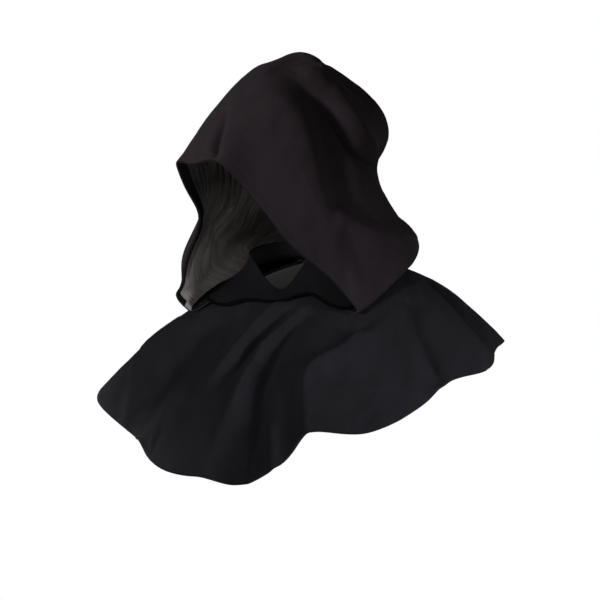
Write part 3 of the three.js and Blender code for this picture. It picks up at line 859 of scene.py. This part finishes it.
def cape_piece():
    points = cape_point(cape_ss[:, None], cape_angles[None])
    normals = -grid_normals(points, True)
    coordinates = np.stack(np.broadcast_arrays(cape_ss[:, None], cape_angles[None]), axis=-1)
    relief = crease_relief(points, coordinates, CAPE_CREASES, cape_point, CAPE_CREASE_REACH)
    relief += crease_relief(
        points, coordinates, CAPE_PLEATS, cape_point, CAPE_CREASE_REACH, PLEAT_ROUNDNESS)
    relief += cloth_relief(points, CAPE_SEED)
    edge = arc_lengths(points, 0)
    edge = edge.max(axis=0) - edge
    reach = np.hypot(points[..., 0], points[..., 1] - NECK_BEHIND_SEAT)
    covered = from_table(HOOD_ON_CAPE, 1, cape_angles)[None]
    relief *= smoothstep(reach, covered, covered + COVERED_FADE)
    relief += ridge(edge - (CAPE_HEM_WIDTH - CAPE_STITCH_INSET), *STITCH_GROOVE)
    points = points + normals * relief[..., None]
    # Turned round, the grid starts at the hem and its own normals point outwards.
    points = points[::-1]
    normals = grid_normals(points, True)
    piece = wall("shaded_cape_cloth", points, normals, CLOTH_THICKNESS, True, shaded_cape_cloth, cape_inner_cloth)
    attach(piece, "root")
    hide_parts("cape")
    return piece, points, normals


def collar_piece():
    ts = np.linspace(0, 1, COLLAR_ROWS_UP)
    angles = np.linspace(-180, 180, COLLAR_COLUMNS, endpoint=False)
    points = collar_point(ts[:, None], angles[None])
    normals = grid_normals(points, True)
    points = points + normals * (COLLAR_SWELL * cloth_relief(points, COLLAR_SEED))[..., None]
    normals = grid_normals(points, True)
    piece = wall("shaded_collar_cloth", points, normals, CLOTH_THICKNESS, True, shaded_collar_cloth, shaded_collar_cloth)
    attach(piece, "root")
    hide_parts("collar")
    # The near-black rolled edge along the collar's lower edge is a painted shadow.
    return piece, rolled_edge("collar_shadow_edge", points[0], normals[0], COLLAR_EDGE_RADIUS, shadow_edge_cloth)


def rolled_edge(name, line, normals, radius, material):
    """A rolled edge along a closed line of cloth: a tube with the cloth's edge in it."""
    def quads(grid):
        return np.stack((grid[:-1, :-1], grid[1:, :-1], grid[1:, 1:], grid[:-1, 1:]), axis=2)

    along = unit(np.roll(line, -1, axis=0) - np.roll(line, 1, axis=0))
    across = unit(np.cross(along, normals))
    vertices = np.concatenate([
        line + radius * (math.cos(turn) * normals + math.sin(turn) * across)
        for turn in np.linspace(0, 2 * math.pi, EDGE_SIDES, endpoint=False)
    ])
    grid = np.arange(len(vertices)).reshape(EDGE_SIDES, len(line))
    faces = quads(np.pad(grid, ((0, 1), (0, 1)), mode="wrap"))
    mesh = bpy.data.meshes.new(name)
    mesh.from_pydata(vertices.tolist(), [], faces.reshape(-1, 4).tolist())
    mesh.materials.append(material)
    around = np.linspace(0, 2 * math.pi * radius, EDGE_SIDES + 1)
    length = np.concatenate(([0], np.cumsum(np.linalg.norm(np.diff(line, axis=0), axis=1))))
    length = np.append(length, length[-1] + np.linalg.norm(line[0] - line[-1]))
    uvs = quads(np.stack(np.broadcast_arrays(length[None], around[:, None]), axis=-1))
    mesh.uv_layers.new(name="cloth").data.foreach_set("uv", uvs.astype(np.float32).ravel())
    mesh.shade_smooth()
    made = add_object(name, mesh)
    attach(made, "root")
    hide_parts("collar")
    return made


def hem_band(name, points, normals, width, looped, columns, node_name):
    """A turned hem: it lies inside the cloth's first rows, and curls out round the cloth's edge."""
    points, normals = points[:, columns], normals[:, columns]
    edge = arc_lengths(points, 0)
    inset = CLOTH_THICKNESS / 2 + PIECE_GAP + HEM_THICKNESS / 2
    rows = []
    for distance in np.linspace(width, HEM_LAST_ROW, HEM_FLAT_ROWS):
        row = np.empty((points.shape[1], 3))
        for j in range(points.shape[1]):
            k = np.searchsorted(edge[:, j], distance)
            share = (distance - edge[k - 1, j]) / (edge[k, j] - edge[k - 1, j])
            middle = blend(points[k - 1, j], points[k, j], share)
            row[j] = middle - unit(blend(normals[k - 1, j], normals[k, j], share)) * inset
        rows.append(row)
    outward = unit(points[0] - points[2])
    radius = inset / 2 + HEM_CURL_GAP
    centre = points[0] - normals[0] * (inset - radius)
    reach = HEM_OVERHANG - HEM_THICKNESS / 2
    for turn in np.radians(HEM_CURL):
        rows.append(centre + outward * reach * math.cos(turn) + normals[0] * radius * math.sin(turn))
    grid = np.stack(rows)
    made = wall(name, grid, -grid_normals(grid, looped), HEM_WALL, looped, hem_cloth, hem_cloth)
    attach(made, "root")
    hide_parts(node_name)
    return made


hood, hood_points, hood_normals = hood_piece()
cape, cape_points, cape_normals = cape_piece()
collar, collar_shadow_edge = collar_piece()
hood_hem = hem_band("hood_hem_band", hood_points, hood_normals, HOOD_HEM_WIDTH, False,
                    np.flatnonzero(np.abs(hood_vs) < HOOD_HEM_END), "hood_hem")
cape_hem = hem_band("cape_hem_band", cape_points, cape_normals, CAPE_HEM_WIDTH, True,
                    np.arange(CAPE_COLUMNS), "cape_hem")


# Camera, light and floor

def camera_axes():
    """Right, up and back of the photograph's camera before its roll."""
    azimuth, elevation = math.radians(CAMERA_AZIMUTH), math.radians(CAMERA_ELEVATION)
    right = Vector((math.cos(azimuth), math.sin(azimuth), 0))
    back = Vector((math.sin(azimuth) * math.cos(elevation),
                   -math.cos(azimuth) * math.cos(elevation), math.sin(elevation)))
    return right, back.cross(right), back


def add_camera():
    right, up, back = camera_axes()
    roll = math.radians(CAMERA_ROLL)
    rolled_right = right * math.cos(roll) - up * math.sin(roll)
    rolled_up = right * math.sin(roll) + up * math.cos(roll)
    data = bpy.data.cameras.new("camera")
    data.sensor_width = CAMERA_FILM
    data.lens = CAMERA_FILM * CAMERA_DISTANCE / CAMERA_FIELD
    data.clip_start, data.clip_end = CAMERA_CLIP
    made = add_object("camera", data)
    place = right * AIM_RIGHT - up * AIM_DOWN + back * CAMERA_DISTANCE
    rotation = Matrix((rolled_right, rolled_up, back)).transposed()
    made.matrix_world = Matrix.Translation(place) @ rotation.to_4x4()
    bpy.context.scene.camera = made


def add_lights():
    right, up, back = camera_axes()
    middle = Vector(LIGHT_MIDDLE)
    for name, place, target, size, power, colour, spread in LIGHTS:
        start, end = (
            middle + back * nearer + right * sideways + up * higher
            for nearer, sideways, higher in (place, target))
        data = bpy.data.lights.new(name, "AREA")
        data.shape = "DISK"
        data.size = size
        data.energy = power
        data.color = colour
        data.spread = math.radians(spread)
        made = add_object(name, data)
        made.location = start
        made.rotation_euler = (end - start).to_track_quat("-Z", "Y").to_euler()


def add_world():
    """A dim light from all sides, which the camera itself sees as white."""
    world = bpy.data.worlds.new("studio")
    bpy.context.scene.world = world
    world.use_nodes = True
    tree = world.node_tree
    seen = node(tree, "ShaderNodeLightPath").outputs["Is Camera Ray"]
    set_sockets(tree, tree.nodes["Background"], {
        "Color": (1, 1, 1, 1),
        "Strength": shade_range(tree, seen, WORLD_LIGHT, WORLD_SEEN),
    })


def add_floor():
    """A pale floor that glows a little, so that it comes out as white as the world."""
    corners = [
        (x * FLOOR_HALF_SIZE, y * FLOOR_HALF_SIZE, FLOOR_HEIGHT)
        for x, y in ((-1, -1), (1, -1), (1, 1), (-1, 1))
    ]
    mesh = bpy.data.meshes.new("floor")
    mesh.from_pydata(corners, [], [(0, 1, 2, 3)])
    material, tree, shader = new_material("pale_floor")
    place = node(tree, "ShaderNodeTexCoord").outputs["Object"]
    grain = stretched_noise(tree, place, (1, 1, 1), 3)
    set_sockets(tree, shader, {
        "Base Color": (0.5, 0.5, 0.5, 1),
        "Roughness": shade_range(tree, grain, 0.84, 0.92),
        "Emission Color": (1, 1, 1, 1),
        "Emission Strength": FLOOR_GLOW,
    })
    mesh.materials.append(material)
    add_object("floor", mesh)


add_camera()
add_lights()
add_world()
add_floor()
bpy.context.scene.view_settings.view_transform = "Standard"
